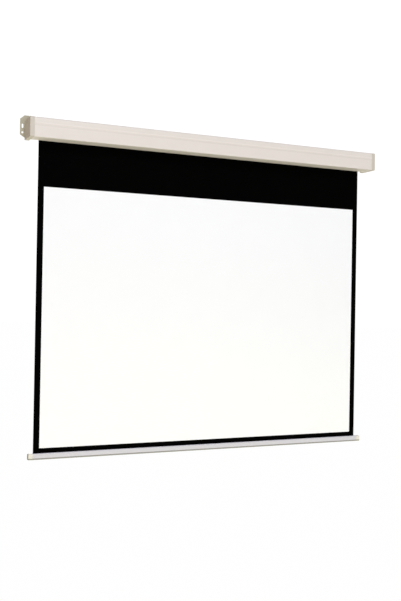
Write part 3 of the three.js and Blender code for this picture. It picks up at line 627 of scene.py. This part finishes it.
def fabric_swell(x, z):
    """How far the hanging fabric stands off its plane: long soft waves, and sides that curl forward"""
    from_top = (fabric_high.z - z) / still_length
    from_bottom = (z - fabric_low.z) / still_length
    freedom = min(1.0, from_top, from_bottom)
    wave = noise.noise(Vector((waves_across * x, waves_down * z, wave_layer))) * wave_depth
    from_side = min(x - fabric_low.x, fabric_high.x - x)
    curl = -curl_depth * math.exp(-from_side / curl_width)
    return (wave + curl) * freedom


def next_edge(shape, edge):
    """The edge at the far side of a new face made on this one"""
    made = bmesh.ops.extrude_edge_only(shape, edges=[edge])["geom"]
    return next(item for item in made if isinstance(item, bmesh.types.BMEdge))


def wound_fabric():
    """The turns that stay on the roller: a strip wound inwards, with its end up in the tube's groove"""
    shape = bmesh.new()
    radius = fabric_y - roller_axis.y
    corners = [
        shape.verts.new((x, roller_axis.y + radius, roller_axis.z))
        for x in (fabric_low.x, fabric_high.x)
    ]
    edge = shape.edges.new(corners)
    step_turn = math.tau / steps_per_turn
    turn = Matrix.Rotation(step_turn, 3, "X")
    about_roller = Matrix.Translation(-roller_axis)
    for _ in range(round(turns_kept * steps_per_turn)):
        edge = next_edge(shape, edge)
        bmesh.ops.rotate(shape, cent=roller_axis, matrix=turn, verts=edge.verts)
        smaller = radius - turn_pitch / steps_per_turn
        inwards = smaller / radius
        bmesh.ops.scale(shape, vec=(1, inwards, inwards), space=about_roller, verts=edge.verts)
        radius = smaller
    for face in shape.faces:
        face.smooth = True
    tail = next_edge(shape, edge)
    bmesh.ops.translate(shape, vec=(0, 0, tail_length), verts=tail.verts)
    bmesh.ops.solidify(shape, geom=shape.faces[:], thickness=fabric_thickness)
    bmesh.ops.recalc_face_normals(shape, faces=shape.faces)
    piece = finished_piece("wound_fabric", shape, [screen_black], "roller")
    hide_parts("fabric_roll")


def hanging_sheet():
    """The drawn-down fabric: a black drop and borders round the white image, black behind"""
    shape = bmesh.new()
    bmesh.ops.create_grid(shape, x_segments=sheet_columns, y_segments=sheet_rows, size=half_unit)
    bmesh.ops.scale(shape, vec=(fabric_width, fabric_drop, 1.0), verts=shape.verts)
    upright = Matrix.Rotation(math.radians(90), 3, "X")
    bmesh.ops.rotate(shape, matrix=upright, verts=shape.verts)
    bmesh.ops.translate(shape, vec=Vector((fabric_x, fabric_low.y, fabric_z)), verts=shape.verts)
    for place, across in (
        ((image_left, 0, 0), rightwards),
        ((image_right, 0, 0), rightwards),
        ((0, 0, image_top), upwards),
        ((0, 0, image_bottom), upwards),
    ):
        whole = [*shape.verts, *shape.edges, *shape.faces]
        bmesh.ops.bisect_plane(shape, geom=whole, dist=MICRON, plane_co=place, plane_no=across)
    white, black = 0, 1
    for face in shape.faces:
        centre = face.calc_center_median()
        inside = image_left < centre.x < image_right and image_bottom < centre.z < image_top
        face.material_index = white if inside else black
        face.smooth = True
    bmesh.ops.recalc_face_normals(shape, faces=shape.faces)
    if shape.faces[0].normal.y > 0:
        bmesh.ops.reverse_faces(shape, faces=shape.faces)
    front = set(shape.faces)
    bmesh.ops.solidify(shape, geom=shape.faces[:], thickness=fabric_thickness)
    for face in shape.faces:
        if face not in front:
            face.material_index = black
    for vert in shape.verts:
        vert.co.y += fabric_swell(vert.co.x, vert.co.z)
    piece = finished_piece("hanging_sheet", shape, [screen_white, screen_black], "case")
    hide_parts("screen_fabric")
    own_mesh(piece)


wound_fabric()
hanging_sheet()


# Camera, fitted to the photograph

camera_place = (-1.6457, -3.5374, -0.7259)
camera_turn = 0.42836
camera_rise = 0.00755
camera_roll = 0.01713
focal_pixels = 850
photo_height = 601
sensor_length = 36
farthest_seen = 200


def photo_camera():
    """The camera, which looks along +Y and level before it is turned, raised and rolled"""
    data = bpy.data.cameras.new("photo_camera")
    data.sensor_width = sensor_length
    data.lens = sensor_length * focal_pixels / photo_height
    data.clip_end = farthest_seen
    camera = bpy.data.objects.new("photo_camera", data)
    camera.matrix_world = (
        Matrix.Translation(camera_place)
        @ Matrix.Rotation(-camera_turn, 4, "Z")
        @ Matrix.Rotation(math.pi / 2 + camera_rise, 4, "X")
        @ Matrix.Rotation(camera_roll, 4, "Z")
    )
    bpy.context.scene.collection.objects.link(camera)
    bpy.context.scene.camera = camera


photo_camera()


# Floor and light

floor_drop = 0.62
floor_radius = 60
floor_sides = 96
floor_glow = 0.995
floor_height = bar_low.z - floor_drop
lamp_clearance = 0.02
background_strength = 1.05
ambient_strength = 0.40
ambient_colour = (1, 0.95, 0.87)


def either_shader(tree, choice, low, high):
    """One shader where the choice is 0 and another where it is 1"""
    settings = {"Fac": choice, 1: low, 2: high}
    return add_node(tree, "ShaderNodeMixShader", settings).outputs["Shader"]


def floor_finish():
    """Pale and dull under the light, evenly bright to the camera and clear from below"""
    material, tree, shader = new_finish("pale_floor", {"Roughness": 0.9, "Base Color": (0.8, 0.8, 0.8)})
    to_camera = add_node(tree, "ShaderNodeLightPath").outputs["Is Camera Ray"]
    even = add_node(tree, "ShaderNodeEmission", {"Strength": floor_glow}).outputs["Emission"]
    upper = either_shader(tree, to_camera, shader.outputs["BSDF"], even)
    from_below = add_node(tree, "ShaderNodeNewGeometry").outputs["Backfacing"]
    clear = add_node(tree, "ShaderNodeBsdfTransparent").outputs["BSDF"]
    feed(tree, tree.nodes["Material Output"], {"Surface": either_shader(tree, from_below, upper, clear)})
    return material


def pale_floor():
    """A plain pale floor that is open from below, so that views from under it still see the screen"""
    shape = bmesh.new()
    bmesh.ops.create_circle(shape, cap_ends=True, segments=floor_sides, radius=floor_radius)
    bmesh.ops.translate(shape, vec=(0, 0, floor_height), verts=shape.verts)
    mesh = bpy.data.meshes.new("floor")
    shape.to_mesh(mesh)
    shape.free()
    mesh.materials.append(floor_finish())
    floor = bpy.data.objects.new("floor", mesh)
    bpy.context.scene.collection.objects.link(floor)


def soft_light(name, place, target, size, power, colour):
    """A square lamp aimed at a target, which the camera doesn't see"""
    data = bpy.data.lights.new(name, "AREA")
    data.shape = "SQUARE"
    data.size = size
    data.energy = power
    data.color = colour
    light = bpy.data.objects.new(name, data)
    light.location = place
    light.rotation_euler = (Vector(target) - Vector(place)).to_track_quat("-Z", "Y").to_euler()
    light.visible_camera = False
    bpy.context.scene.collection.objects.link(light)


def pale_surroundings():
    """A white background to the camera, and a weaker warm glow from all round on the screen"""
    world = bpy.data.worlds.new("studio")
    bpy.context.scene.world = world
    world.use_nodes = True
    tree = world.node_tree
    white = tree.nodes["Background"]
    feed(tree, white, {"Color": (1, 1, 1), "Strength": background_strength})
    settings = {"Color": ambient_colour, "Strength": ambient_strength}
    ambient = add_node(tree, "ShaderNodeBackground", settings)
    to_camera = add_node(tree, "ShaderNodeLightPath").outputs["Is Camera Ray"]
    seen = either_shader(tree, to_camera, ambient.outputs["Background"], white.outputs["Background"])
    feed(tree, tree.nodes["World Output"], {"Surface": seen})


def studio_lamps():
    """The main lamp high in front, and weaker ones on the floor, at the left and high behind"""
    soft_light(
        "front_light",
        place=(-1.0, -8.2, 4.6),
        target=(0, 0, fabric_low.z / 2),
        size=3,
        power=530,
        colour=(0.895, 0.925, 1),
    )
    soft_light(
        "low_light",
        place=(-0.2, -0.6, floor_height + lamp_clearance),
        target=(-0.2, -0.6, 0),
        size=4,
        power=33,
        colour=(1, 0.975, 0.50),
    )
    soft_light(
        "left_light",
        place=(-4.5, -0.3, -0.3),
        target=(-0.8, -0.05, 0),
        size=2,
        power=11,
        colour=(1, 0.55, 0.15),
    )
    soft_light(
        "back_light",
        place=(0.6, 4.5, 1.6),
        target=(0, 0, -0.2),
        size=3,
        power=110,
        colour=(0.93, 0.96, 1),
    )


pale_floor()
pale_surroundings()
studio_lamps()
bpy.context.scene.view_settings.view_transform = "Standard"
